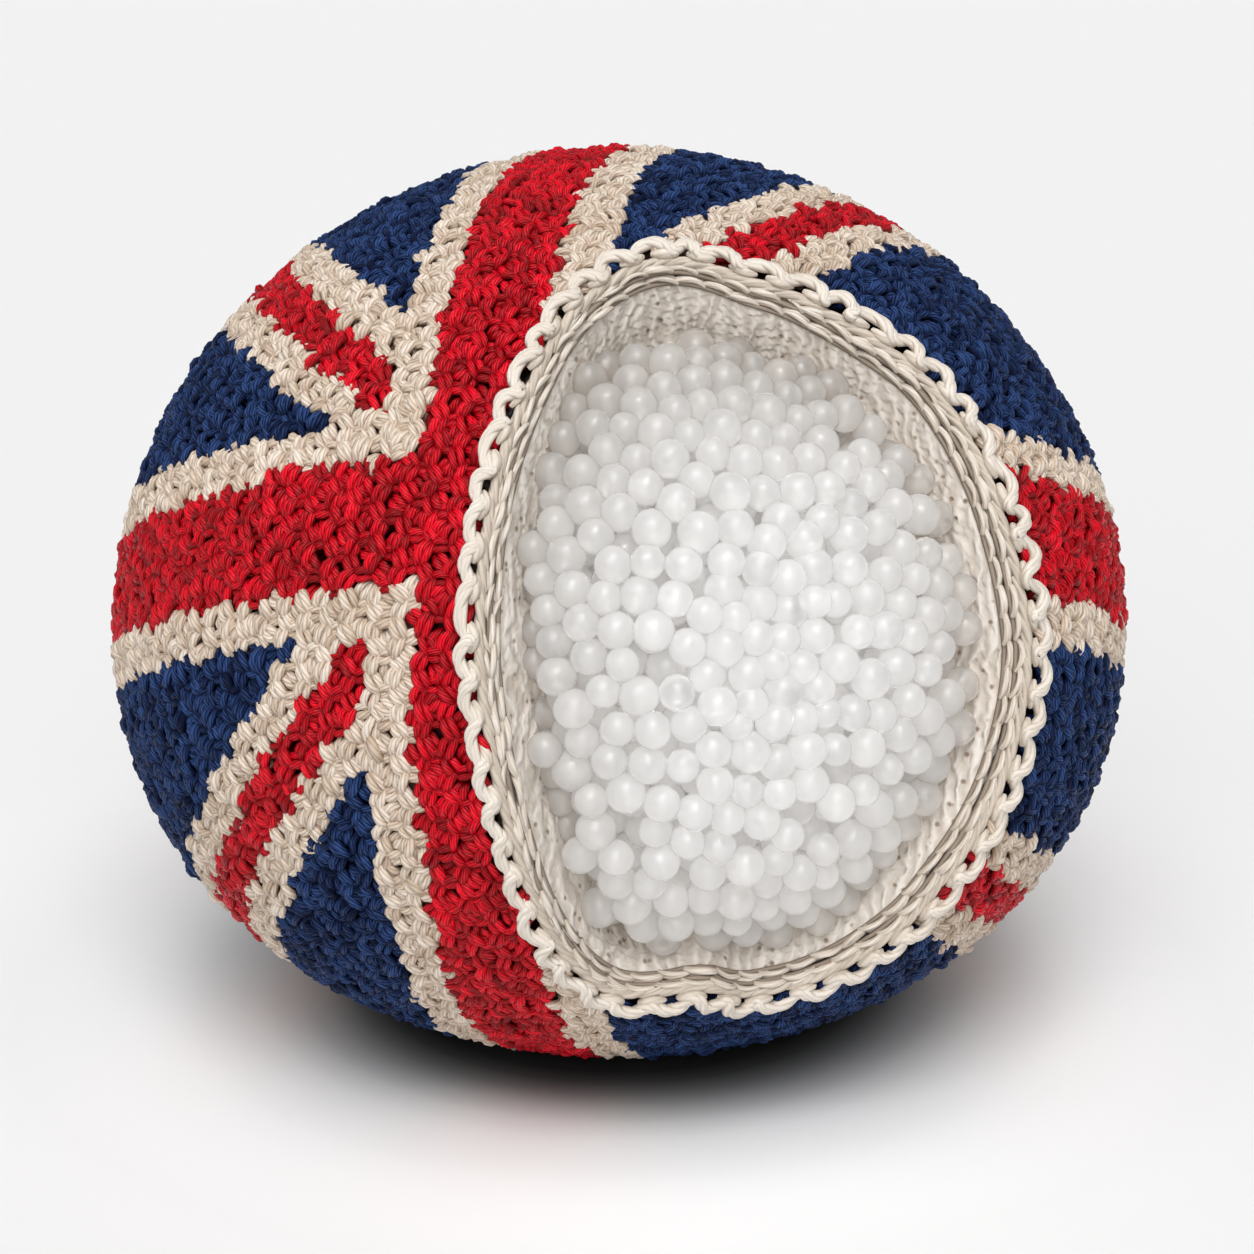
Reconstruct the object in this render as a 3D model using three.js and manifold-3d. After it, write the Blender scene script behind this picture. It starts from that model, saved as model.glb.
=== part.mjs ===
// A crocheted footbag with a window in its side that shows the pellets it is filled with.
// Millimetres, +Z up. The bag rests on its flattened bottom at the origin, and its
// patterned face looks towards -Y.
import * as THREE from 'three';
import Module from 'manifold-3d';
import { mergeVertices } from 'three/addons/utils/BufferGeometryUtils.js';

const wasm = await Module();
wasm.setup();

// The bag's outer form
const bag_radius = 30;
const crown_height = 28.3;
const seat_height = 23.3;
const seat_press = 0.9;
const belly_power = 2.15;

// The layers, from the crochet inwards, with the gap left wherever two pieces touch
const crochet_thickness = 2.2;
const lining_thickness = 0.5;
const fit_gap = 0.3;

// The flag pattern: where its face looks, and how far it is rolled, in degrees
const flag_turn_angle = -13.2;
const flag_lift_angle = 23;
const flag_roll_angle = 2.9;

// The upright and the crossbar of the red cross, and the cream beside them. A shift
// moves a band sideways from the middle of the flag.
const upright_width = 5.7;
const upright_shift = 1.6;
const crossbar_width = 6.6;
const crossbar_shift = 1.7;
const crossbar_angle = 3.5;
const cross_border = 2.4;

// The four red diagonals and the cream on each side of them
const upper_left_width = 2.7;
const upper_left_shift = -2.6;
const lower_left_width = 2.6;
const lower_left_shift = -1.1;
const upper_right_width = 2.6;
const upper_right_shift = 4.3;
const lower_right_width = 2.9;
const lower_right_shift = 1.3;
const diagonal_border = 2.2;
const diagonals = [
  { name: 'upper_left', angle: 142, width: upper_left_width, shift: upper_left_shift },
  { name: 'lower_left', angle: 226.4, width: lower_left_width, shift: lower_left_shift },
  { name: 'lower_right', angle: 323, width: lower_right_width, shift: lower_right_shift },
  { name: 'upper_right', angle: 47.3, width: upper_right_width, shift: upper_right_shift },
];

// The window: where it faces, and its half sizes measured along the bag's surface. Its
// outline is an oval that leans to one side and has three blunt corners, like an egg.
const window_turn_angle = 17;
const window_lift_angle = 13.6;
const window_half_width = 17.2;
const window_half_height = 24.2;
const lean_share = 0.02;
const lean_angle = 114;
const corner_share = 0.039;
const corner_angle = -5.5;
const corner_count = 3;

// The trims round the window, from the crochet's edge inwards. The chain rows step down
// into the window at the trim's slope, and the hem turns down below the inner one.
const edging_diameter = 0.7;
const edging_rise = 0.25;
const scallop_reach = 0.3;
const scallop_count = 54;
const chain_diameter = 0.6;
const trim_slope_angle = 65;
const hem_thickness = 0.6;
const hem_drop = 0.85;
const hem_lean = 0.2;
const lining_setback = 0.9;

// The pellets: the loose ones lie on the crown of the fill, the others are bedded round them
const pellet_diameter = 2;
const loose_half_width = 5.6;
const loose_half_height = 8.3;
const bedded_sink = 0.2;

// How finely the curved surfaces are divided
const outside_segments = 24;
const outside_rows = 6;
const inside_segments = 16;
const inside_rows = 4;
const window_steps = 36;
const chain_steps = 36;
const scallop_steps = 4;
const cord_sides = 4;
const loose_sides = 6;
const loose_rings = 3;
const bedded_sides = 5;
const bedded_rings = 3;
const weld_distance = 1e-5;

// Sizes worked out from the ones above
const belly_depth = seat_height + seat_press;
const reach = 2 * (bag_radius + crown_height);
const lining_depth = crochet_thickness + fit_gap;
const fill_depth = lining_depth + lining_thickness + fit_gap;
const edging_offset = fit_gap + scallop_reach + edging_diameter / 2;
const edging_depth = edging_diameter / 2 - edging_rise;
const flange_depth = edging_depth + edging_diameter / 2 + fit_gap;
const trim_slope = THREE.MathUtils.degToRad(trim_slope_angle);
const outer_chain_step = edging_diameter / 2 + fit_gap + chain_diameter / 2;
const outer_chain_offset = edging_offset + scallop_reach
  + outer_chain_step * Math.cos(trim_slope);
const outer_chain_depth = edging_depth + outer_chain_step * Math.sin(trim_slope);
const inner_chain_step = chain_diameter + fit_gap;
const inner_chain_offset = outer_chain_offset + inner_chain_step * Math.cos(trim_slope);
const inner_chain_depth = outer_chain_depth + inner_chain_step * Math.sin(trim_slope);
const turn_depth = inner_chain_depth + hem_drop;
const hem_depth = fill_depth - fit_gap;
const hem_foot_offset = inner_chain_offset + hem_lean;
const pellet_edge_offset = hem_foot_offset + fit_gap + pellet_diameter / 2;
const pellet_pitch = pellet_diameter + fit_gap;
const loose_depth = fill_depth - fit_gap - pellet_diameter / 2;
const bedded_depth = fill_depth + bedded_sink;

// The yarns, the lining and the pellets

function yarn(name, color) {
  return new THREE.MeshStandardMaterial({ name, color, roughness: 0.85, metalness: 0 });
}

const red_yarn = yarn('red_yarn', 0xb3101f);
const navy_yarn = yarn('navy_yarn', 0x243a66);
const cream_yarn = yarn('cream_yarn', 0xe2d5c4);
const edging_yarn = yarn('edging_yarn', 0xe6ddd0);
const lining_cloth = yarn('lining_cloth', 0xdcd0c0);
const frosted_plastic = new THREE.MeshStandardMaterial({
  name: 'frosted_pellet',
  color: 0xeceae8,
  roughness: 0.35,
  metalness: 0,
  transparent: true,
  opacity: 0.85,
});

// Closed meshes as solids and back again

function solidFrom(geometry) {
  const bare = geometry.clone();
  bare.deleteAttribute('normal');
  bare.deleteAttribute('uv');
  const merged = mergeVertices(bare, weld_distance);
  return new wasm.Manifold(new wasm.Mesh({
    numProp: 3,
    vertProperties: new Float32Array(merged.attributes.position.array),
    triVerts: new Uint32Array(merged.index.array),
  }));
}

function geometryFrom(solid) {
  const mesh = solid.getMesh();
  const geometry = new THREE.BufferGeometry();
  geometry.setAttribute('position', new THREE.BufferAttribute(mesh.vertProperties, 3));
  geometry.setIndex(new THREE.BufferAttribute(mesh.triVerts, 1));
  geometry.computeVertexNormals();
  return geometry;
}

// The bag's form at a depth below its outer surface. Its widest level is at z = 0 here:
// half an ellipse above, and a fuller curve below that stops at the flattened bottom.

function surfaceMeasure(point, depth) {
  const across = Math.hypot(point.x, point.y) / (bag_radius - depth);
  if (point.z >= 0) return across ** 2 + (point.z / (crown_height - depth)) ** 2;
  return across ** belly_power + (-point.z / (belly_depth - depth)) ** belly_power;
}

function bagProfile(depth, rows) {
  const radius = bag_radius - depth;
  const belly = belly_depth - depth;
  const seat = seat_height - depth;
  const seat_turn = Math.asin((seat / belly) ** (belly_power / 2));
  const profile = [new THREE.Vector2(0, -seat)];
  for (let row = rows; row > 0; row -= 1) {
    const turn = seat_turn * row / rows;
    const level = row === rows ? seat : belly * Math.sin(turn) ** (2 / belly_power);
    profile.push(new THREE.Vector2(radius * Math.cos(turn) ** (2 / belly_power), -level));
  }
  for (let row = 0; row < rows; row += 1) {
    const turn = Math.PI / 2 * row / rows;
    const crown = (crown_height - depth) * Math.sin(turn);
    profile.push(new THREE.Vector2(radius * Math.cos(turn), crown));
  }
  profile.push(new THREE.Vector2(0, crown_height - depth));
  return profile;
}

function bagSolid(depth, rows, segments) {
  const lathe = new THREE.LatheGeometry(bagProfile(depth, rows), segments);
  return solidFrom(lathe.rotateX(Math.PI / 2));
}

// A frame that looks outwards from the middle of the bag: x to the right, y up, z out

function facingFrame(turn_angle, lift_angle, roll_angle) {
  const { degToRad } = THREE.MathUtils;
  const frame = new THREE.Matrix4().makeRotationZ(degToRad(turn_angle));
  frame.multiply(new THREE.Matrix4().makeRotationX(degToRad(90 - lift_angle)));
  return frame.multiply(new THREE.Matrix4().makeRotationZ(degToRad(roll_angle)));
}

const flag_frame = facingFrame(flag_turn_angle, flag_lift_angle, flag_roll_angle);
const window_frame = facingFrame(window_turn_angle, window_lift_angle, 0);

// Where a ray from the middle of the bag leaves the surface at this depth

function onSurface(direction, depth) {
  let inside = 0;
  let outside = reach;
  for (let halving = 0; halving < 40; halving += 1) {
    const middle = (inside + outside) / 2;
    const point = direction.clone().multiplyScalar(middle);
    if (surfaceMeasure(point, depth) < 1) inside = middle;
    else outside = middle;
  }
  return direction.clone().multiplyScalar(inside);
}

// A place on the bag, so far across and up from the window's middle along the surface

function windowPlace(across, up, depth) {
  const angle = Math.hypot(across, up) / bag_radius;
  const bearing = Math.atan2(up, across);
  const direction = new THREE.Vector3(
    Math.sin(angle) * Math.cos(bearing),
    Math.sin(angle) * Math.sin(bearing),
    Math.cos(angle),
  );
  return onSurface(direction.applyMatrix4(window_frame), depth);
}

// The half sizes of the window at a bearing, an offset in from the crochet's edge

function rimHalves(bearing, offset) {
  const { degToRad } = THREE.MathUtils;
  const share = 1
    + lean_share * Math.cos(bearing - degToRad(lean_angle))
    + corner_share * Math.cos(corner_count * (bearing - degToRad(corner_angle)));
  return {
    across: window_half_width * share - offset,
    up: window_half_height * share - offset,
  };
}

// A place on the window's rim, an offset in from the crochet's edge

function rimPlace(bearing, offset, depth) {
  const halves = rimHalves(bearing, offset);
  return windowPlace(
    halves.across * Math.cos(bearing),
    halves.up * Math.sin(bearing),
    depth,
  );
}

// A closed band: rings of the same number of points, each joined to the next and the
// last to the first

function closedBand(rings) {
  const count = rings[0].length;
  const positions = rings.flat().flatMap((point) => point.toArray());
  const faces = [];
  rings.forEach((ring, step) => {
    const here = step * count;
    const next = ((step + 1) % rings.length) * count;
    for (let side = 0; side < count; side += 1) {
      const other = (side + 1) % count;
      faces.push(here + side, next + side, next + other);
      faces.push(here + side, next + other, here + other);
    }
  });
  const geometry = new THREE.BufferGeometry();
  geometry.setAttribute('position', new THREE.Float32BufferAttribute(positions, 3));
  geometry.setIndex(faces);
  geometry.computeVertexNormals();
  return geometry;
}

// A cone from the bag's middle through a rim that lies an offset in from the crochet's
// edge, which cuts the window's opening through the layers

function windowCutter(offset) {
  const positions = [0, 0, 0];
  const tip = windowPlace(0, 0, 0).setLength(reach);
  positions.push(...tip.toArray());
  const faces = [];
  for (let step = 0; step < window_steps; step += 1) {
    const bearing = 2 * Math.PI * step / window_steps;
    positions.push(...rimPlace(bearing, offset, 0).setLength(reach).toArray());
    const here = step + 2;
    const next = (step + 1) % window_steps + 2;
    faces.push(0, next, here);
    faces.push(1, here, next);
  }
  const geometry = new THREE.BufferGeometry();
  geometry.setAttribute('position', new THREE.Float32BufferAttribute(positions, 3));
  geometry.setIndex(faces);
  return solidFrom(geometry);
}

// The crochet cover before it is divided into its colours

function crochetCover() {
  const outside = bagSolid(0, outside_rows, outside_segments);
  const inside = bagSolid(crochet_thickness, inside_rows, inside_segments);
  return outside.subtract(inside).subtract(windowCutter(0));
}

// A straight stripe through the bag. It runs at an angle across the flag, and low and
// high say how far it lies to the left of a line through the flag's middle.

function stripe(angle, low, high) {
  const box = new THREE.BoxGeometry(2 * reach, high - low, 2 * reach);
  box.translate(0, (low + high) / 2, 0);
  box.applyMatrix4(new THREE.Matrix4().makeRotationZ(THREE.MathUtils.degToRad(angle)));
  return solidFrom(box.applyMatrix4(flag_frame));
}

// The red cross, widened on every side by a margin

function crossRegion(margin) {
  const upright_half = upright_width / 2 + margin;
  const crossbar_half = crossbar_width / 2 + margin;
  const upright = stripe(90, upright_shift - upright_half, upright_shift + upright_half);
  const crossbar = stripe(
    crossbar_angle,
    crossbar_shift - crossbar_half,
    crossbar_shift + crossbar_half,
  );
  return upright.add(crossbar);
}

// One quarter of the flag outside the red cross, widened by a margin

function quarterRegion(diagonal, margin) {
  const left = Math.cos(THREE.MathUtils.degToRad(diagonal.angle)) < 0;
  const upper = Math.sin(THREE.MathUtils.degToRad(diagonal.angle)) > 0;
  const beside = left ? stripe(90, upright_shift, reach) : stripe(90, -reach, upright_shift);
  const above = upper
    ? stripe(crossbar_angle, crossbar_shift, reach)
    : stripe(crossbar_angle, -reach, crossbar_shift);
  return beside.intersect(above).subtract(crossRegion(margin));
}

function diagonalRegion(diagonal, margin) {
  const half = diagonal.width / 2 + margin;
  return stripe(diagonal.angle, diagonal.shift - half, diagonal.shift + half);
}

// The pieces of one quarter: its red diagonal, the cream round it and along the cross,
// and the two navy fields that the diagonal parts

function quarterPieces(cover, diagonal) {
  const inside_border = quarterRegion(diagonal, cross_border);
  const inside_gap = quarterRegion(diagonal, cross_border + fit_gap);
  const red = inside_gap.intersect(diagonalRegion(diagonal, 0));
  const navy = inside_gap.subtract(diagonalRegion(diagonal, diagonal_border + fit_gap));
  const cream = quarterRegion(diagonal, fit_gap)
    .subtract(inside_border.intersect(diagonalRegion(diagonal, fit_gap)))
    .subtract(inside_border.subtract(diagonalRegion(diagonal, diagonal_border)));
  const left_of_diagonal = stripe(diagonal.angle, diagonal.shift, reach);
  const right_of_diagonal = stripe(diagonal.angle, -reach, diagonal.shift);
  return [
    piece(`red_diagonal_${diagonal.name}`, cover.intersect(red), red_yarn),
    piece(`cream_border_${diagonal.name}`, cover.intersect(cream), cream_yarn),
    piece(
      `navy_field_${diagonal.name}_a`,
      cover.intersect(navy.intersect(left_of_diagonal)),
      navy_yarn,
    ),
    piece(
      `navy_field_${diagonal.name}_b`,
      cover.intersect(navy.intersect(right_of_diagonal)),
      navy_yarn,
    ),
  ];
}

function piece(name, shape, material) {
  const geometry = shape.isBufferGeometry ? shape : geometryFrom(shape);
  const mesh = new THREE.Mesh(geometry, material);
  mesh.name = name;
  return mesh;
}

// A cord laid round the window. Its middle line wanders in and out by the scallops'
// reach, and every ring of it stands square to that line.

function rimCord(offset, depth, diameter, steps, wander) {
  const even_line = new THREE.CatmullRomCurve3(
    Array.from({ length: window_steps }, (unused, step) => (
      rimPlace(2 * Math.PI * step / window_steps, offset, depth)
    )),
    true,
  );
  const waved_line = new THREE.CatmullRomCurve3(
    Array.from({ length: steps }, (unused, step) => {
      const point = even_line.getPointAt(step / steps);
      const tangent = even_line.getTangentAt(step / steps);
      const sideways = new THREE.Vector3().crossVectors(tangent, point).normalize();
      return point.addScaledVector(sideways, wander(step / steps));
    }),
    true,
  );
  const rings = Array.from({ length: steps }, (unused, step) => {
    const centre = waved_line.getPoint(step / steps);
    const tangent = waved_line.getTangent(step / steps);
    const sideways = new THREE.Vector3().crossVectors(tangent, centre).normalize();
    const outwards = new THREE.Vector3().crossVectors(sideways, tangent);
    return Array.from({ length: cord_sides }, (none, side) => {
      const turn = 2 * Math.PI * side / cord_sides;
      return centre.clone()
        .addScaledVector(outwards, diameter / 2 * Math.cos(turn))
        .addScaledVector(sideways, -diameter / 2 * Math.sin(turn));
    });
  });
  return closedBand(rings);
}

function scallopedEdging() {
  const wander = (share) => scallop_reach * Math.cos(2 * Math.PI * scallop_count * share);
  const steps = scallop_count * scallop_steps;
  return rimCord(edging_offset, edging_depth, edging_diameter, steps, wander);
}

function chainRow(offset, depth) {
  return rimCord(offset, depth, chain_diameter, chain_steps, () => 0);
}

// The hem: a flange that slopes down under the trims, and a wall that leans in from its
// turn down to the fill

function hem() {
  const rings = Array.from({ length: window_steps }, (unused, step) => {
    const bearing = 2 * Math.PI * step / window_steps;
    return [
      rimPlace(bearing, fit_gap, flange_depth),
      rimPlace(bearing, inner_chain_offset, turn_depth),
      rimPlace(bearing, hem_foot_offset, hem_depth),
      rimPlace(bearing, hem_foot_offset - hem_thickness, hem_depth),
      rimPlace(bearing, fit_gap, flange_depth + hem_thickness),
    ];
  });
  return closedBand(rings);
}

// The lining: a thin bag inside the crochet, open under the hem's flange

function liningBag() {
  const outside = bagSolid(lining_depth, inside_rows, inside_segments);
  const inside = bagSolid(lining_depth + lining_thickness, inside_rows, inside_segments);
  return outside.subtract(inside).subtract(windowCutter(lining_setback));
}

// Whether a pellet lies among the loose ones

function isLoose(place) {
  return Math.hypot(place.across / loose_half_width, place.up / loose_half_height) <= 1;
}

// The places of the pellets that show: evenly spaced, as in a honeycomb, inside the hem

function honeycomb() {
  const places = [];
  const row_pitch = pellet_pitch * Math.sqrt(3) / 2;
  const rows = Math.ceil(window_half_height / row_pitch);
  const columns = Math.ceil(window_half_width / pellet_pitch) + 1;
  for (let row = -rows; row <= rows; row += 1) {
    const stagger = Math.abs(row % 2) / 2;
    for (let column = -columns; column <= columns; column += 1) {
      places.push({ across: (column + stagger) * pellet_pitch, up: row * row_pitch });
    }
  }
  return places.filter((place) => {
    const bearing = Math.atan2(
      place.up / window_half_height,
      place.across / window_half_width,
    );
    const halves = rimHalves(bearing, pellet_edge_offset);
    return Math.hypot(place.across / halves.across, place.up / halves.up) <= 1;
  });
}

function pelletAt(place, depth, sides, rings) {
  const ball = new THREE.SphereGeometry(pellet_diameter / 2, sides, rings);
  const centre = windowPlace(place.across, place.up, depth);
  const pole = new THREE.Vector3(0, 1, 0);
  const outwards = centre.clone().normalize();
  ball.applyQuaternion(new THREE.Quaternion().setFromUnitVectors(pole, outwards));
  return ball.translate(...centre.toArray());
}

// The fill: one body of packed pellets, bumpy with half-sunk pellets where it shows
// round the loose ones

function pelletFill() {
  const body = bagSolid(fill_depth, inside_rows, inside_segments);
  return honeycomb().filter((place) => !isLoose(place)).reduce((fill, place) => {
    const pellet = pelletAt(place, bedded_depth, bedded_sides, bedded_rings);
    return fill.add(solidFrom(pellet));
  }, body);
}

function loosePellets() {
  return honeycomb().filter(isLoose).map((place, index) => {
    const number = String(index + 1).padStart(2, '0');
    const pellet = pelletAt(place, loose_depth, loose_sides, loose_rings);
    return piece(`pellet_${number}`, pellet, frosted_plastic);
  });
}

// The whole bag, with its seat on the ground

const footbag = new THREE.Group();
const cover = crochetCover();
footbag.add(piece('red_cross', cover.intersect(crossRegion(0)), red_yarn));
diagonals.forEach((diagonal) => footbag.add(...quarterPieces(cover, diagonal)));
footbag.add(piece('scalloped_edging', scallopedEdging(), edging_yarn));
footbag.add(piece(
  'outer_chain_row',
  chainRow(outer_chain_offset, outer_chain_depth),
  edging_yarn,
));
footbag.add(piece(
  'inner_chain_row',
  chainRow(inner_chain_offset, inner_chain_depth),
  edging_yarn,
));
footbag.add(piece('window_hem', hem(), lining_cloth));
footbag.add(piece('lining_bag', liningBag(), lining_cloth));
footbag.add(piece('pellet_fill', pelletFill(), frosted_plastic));
footbag.add(...loosePellets());
footbag.position.z = seat_height;

export default footbag;
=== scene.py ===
# A crocheted footbag with a window in its side that shows its pellets.
# Lengths below are in millimetres, measured from the middle of the bag's widest
# level, until a mesh is written in metres with its seat on the floor.
import math

import bpy
import numpy as np
from mathutils import Matrix, Vector


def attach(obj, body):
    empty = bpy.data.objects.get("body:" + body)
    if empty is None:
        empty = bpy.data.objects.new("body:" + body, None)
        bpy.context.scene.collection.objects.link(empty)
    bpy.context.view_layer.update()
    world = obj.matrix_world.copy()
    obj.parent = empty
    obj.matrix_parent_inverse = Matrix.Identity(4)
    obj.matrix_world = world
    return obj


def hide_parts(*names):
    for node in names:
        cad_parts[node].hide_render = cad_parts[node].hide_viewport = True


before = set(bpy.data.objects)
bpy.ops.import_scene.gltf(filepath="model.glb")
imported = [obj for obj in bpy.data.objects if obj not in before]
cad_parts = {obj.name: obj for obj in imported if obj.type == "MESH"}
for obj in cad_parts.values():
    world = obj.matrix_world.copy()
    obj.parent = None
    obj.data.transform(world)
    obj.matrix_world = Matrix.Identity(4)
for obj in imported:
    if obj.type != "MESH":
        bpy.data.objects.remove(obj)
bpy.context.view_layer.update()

rng = np.random.default_rng(20)

MM = 0.001
FULL_TURN = 2 * math.pi
# The span of the random phases in fine relief
PHASES = 6.28

# The bag's form, as in the frame
BAG_RADIUS = 30.0
CROWN_HEIGHT = 28.3
SEAT_HEIGHT = 23.3
BELLY_DEPTH = 24.2
BELLY_POWER = 2.15

# The flag on it
FLAG_TURN, FLAG_LIFT, FLAG_ROLL = -13.2, 23.0, 2.9
UPRIGHT_WIDTH, UPRIGHT_SHIFT = 5.7, 1.6
CROSSBAR_WIDTH, CROSSBAR_SHIFT, CROSSBAR_ANGLE = 6.6, 1.7, 3.5
CROSS_BORDER, DIAGONAL_BORDER = 2.4, 2.2
DIAGONALS = (
    ("upper_left", 142.0, 2.7, -2.6),
    ("lower_left", 226.4, 2.6, -1.1),
    ("lower_right", 323.0, 2.9, 1.3),
    ("upper_right", 47.3, 2.6, 4.3),
)
# The stitched upright is a little narrower on each side, and its border wider
UPRIGHT_LESS, UPRIGHT_BORDER_MORE = 0.08, 0.1

# The window, an oval that leans to one side and has three blunt corners
WINDOW_TURN, WINDOW_LIFT = 17.0, 13.6
WINDOW_HALF_WIDTH, WINDOW_HALF_HEIGHT = 17.2, 24.2
LEAN_SHARE, LEAN_ANGLE = 0.02, 114.0
CORNER_SHARE, CORNER_ANGLE = 0.039, -5.5

# The trims in the window: an offset in from the crochet's edge and a depth for each.
# The bed of pellets begins at an offset of its own.
EDGING_CORD = (0.75, 0.05)
OUTER_CHAIN = (1.65, 0.95)
INNER_CHAIN = (1.92, 1.52)
BED_OFFSET = 3.4

# How far in the trims stray from an even line, by the bearing round the window
STRAY = (
    (0, 0.10), (10, 0.25), (20, -0.10), (30, -0.45), (40, -0.65), (50, 0.0), (60, 0.45),
    (70, 0.55), (80, 0.95), (87, 0.35), (94, -0.19), (100, -0.25), (115, 0.25),
    (125, 0.35), (135, 0.55), (145, 0.25), (155, -0.10), (165, -0.35), (180, -0.55),
    (195, -0.35), (207, -0.35), (220, -0.81), (231, -1.35), (240, -1.61), (245, -0.99),
    (250, 0.0), (254, 0.85), (260, 0.71), (268, -0.55), (275, -0.72), (280, -1.08),
    (290, -1.25), (300, -1.08), (309, -0.90), (315, -0.25), (325, -0.10), (335, 0.0),
    (345, 0.0), (355, -0.19),
)
HALF_DEGREES = np.arange(720) / 2
KINK_FADE = 34


def add_object(name, data):
    made = bpy.data.objects.new(name, data)
    bpy.context.scene.collection.objects.link(made)
    return made


# Camera
CAMERA_LIFT = 16.0
CAMERA_REACH = 177.747
AIM_RIGHT, AIM_UP = 0.45, -0.18


def make_camera():
    lift = math.radians(CAMERA_LIFT)
    back = Vector((0, -math.cos(lift), math.sin(lift)))
    up = Vector((0, math.sin(lift), math.cos(lift)))
    aim = Vector((0, 0, SEAT_HEIGHT)) + Vector((1, 0, 0)) * AIM_RIGHT + up * AIM_UP
    data = bpy.data.cameras.new("camera")
    data.lens = 85
    data.sensor_width = 36
    data.clip_start = 0.005
    data.clip_end = 20
    camera = add_object("camera", data)
    camera.location = (aim + back * CAMERA_REACH) * MM
    camera.rotation_mode = "QUATERNION"
    camera.rotation_quaternion = (-back).to_track_quat("-Z", "Y")
    bpy.context.scene.camera = camera


make_camera()


# Geometry
def facing_frame(turn, lift, roll):
    facing = Matrix.Rotation(math.radians(turn), 3, "Z")
    facing = facing @ Matrix.Rotation(math.radians(90 - lift), 3, "X")
    return np.array(facing @ Matrix.Rotation(math.radians(roll), 3, "Z"))


FLAG = facing_frame(FLAG_TURN, FLAG_LIFT, FLAG_ROLL)
WINDOW = facing_frame(WINDOW_TURN, WINDOW_LIFT, 0)


def unit(vectors):
    return vectors / np.maximum(np.linalg.norm(vectors, axis=-1, keepdims=True), 1e-12)


def on_surface(directions, depth):
    """Where rays from the middle of the bag leave its surface at a depth."""
    directions = unit(directions)
    depth = np.broadcast_to(depth, directions.shape[:-1])
    across = np.hypot(directions[..., 0], directions[..., 1]) / (BAG_RADIUS - depth)
    height = directions[..., 2]
    upper = np.sqrt(across**2 + (height / (CROWN_HEIGHT - depth)) ** 2)
    down = np.maximum(-height, 0)
    lower = across**BELLY_POWER + (down / (BELLY_DEPTH - depth)) ** BELLY_POWER
    lower = np.maximum(lower, 1e-12) ** (1 / BELLY_POWER)
    reach = 1 / np.where(height >= 0, upper, lower)
    seat = (SEAT_HEIGHT - depth) / np.maximum(down, 1e-6)
    reach = np.minimum(reach, np.where(height < 0, seat, np.inf))
    return directions * reach[..., None]


def window_place(across, up, depth):
    angle = np.hypot(across, up) / BAG_RADIUS
    bearing = np.arctan2(up, across)
    local = np.stack([
        np.sin(angle) * np.cos(bearing),
        np.sin(angle) * np.sin(bearing),
        np.cos(angle),
    ], axis=-1)
    return on_surface(local @ WINDOW.T, depth)


def stray_line():
    """The stray of the trims at every half degree, with its kinks rounded off."""
    bearings, strays = np.array(STRAY).T
    line = np.interp(HALF_DEGREES, bearings, strays, period=360)
    waves_in = np.fft.rfft(line)
    fade = np.exp(-((np.arange(len(waves_in)) / KINK_FADE) ** 2))
    return np.fft.irfft(waves_in * fade, len(line))


STRAY_LINE = stray_line()


def stray(bearing):
    return np.interp(np.degrees(bearing), HALF_DEGREES, STRAY_LINE, period=360)


def rim_halves(bearing, offset):
    """The window's half sizes at a bearing, an offset in from the crochet's edge."""
    share = 1 + LEAN_SHARE * np.cos(bearing - math.radians(LEAN_ANGLE))
    share = share + CORNER_SHARE * np.cos(3 * (bearing - math.radians(CORNER_ANGLE)))
    inset = offset + stray(bearing)
    return WINDOW_HALF_WIDTH * share - inset, WINDOW_HALF_HEIGHT * share - inset


def rim_place(bearing, offset, depth):
    across, up = rim_halves(bearing, offset)
    return window_place(across * np.cos(bearing), up * np.sin(bearing), depth)


def rim_measure(across, up, offset):
    """Under one inside the window's rim drawn in by an offset, over one outside."""
    bearing = np.arctan2(up / WINDOW_HALF_HEIGHT, across / WINDOW_HALF_WIDTH)
    half_across, half_up = rim_halves(bearing, offset)
    return np.hypot(across / half_across, up / half_up)


def window_measure(directions, offset):
    local = unit(directions) @ WINDOW
    angle = np.arccos(np.clip(local[..., 2], -1, 1)) * BAG_RADIUS
    bearing = np.arctan2(local[..., 1], local[..., 0])
    return rim_measure(angle * np.cos(bearing), angle * np.sin(bearing), offset)


def smooth_bump(steps, power):
    return np.sin(np.pi * steps) ** power


def lengths_along(points):
    """How far along the line through them the points lie."""
    return np.concatenate([[0], np.cumsum(np.linalg.norm(np.diff(points, axis=0), axis=1))])


def ripples(places, count, low, high, own):
    """Fine relief: waves of random wavelengths that cross places in random directions."""
    total = np.zeros(len(places))
    for _ in range(count):
        axis = unit(own.normal(size=3))
        total += np.sin(places @ axis * own.uniform(low, high) + own.random() * PHASES)
    return total


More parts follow.
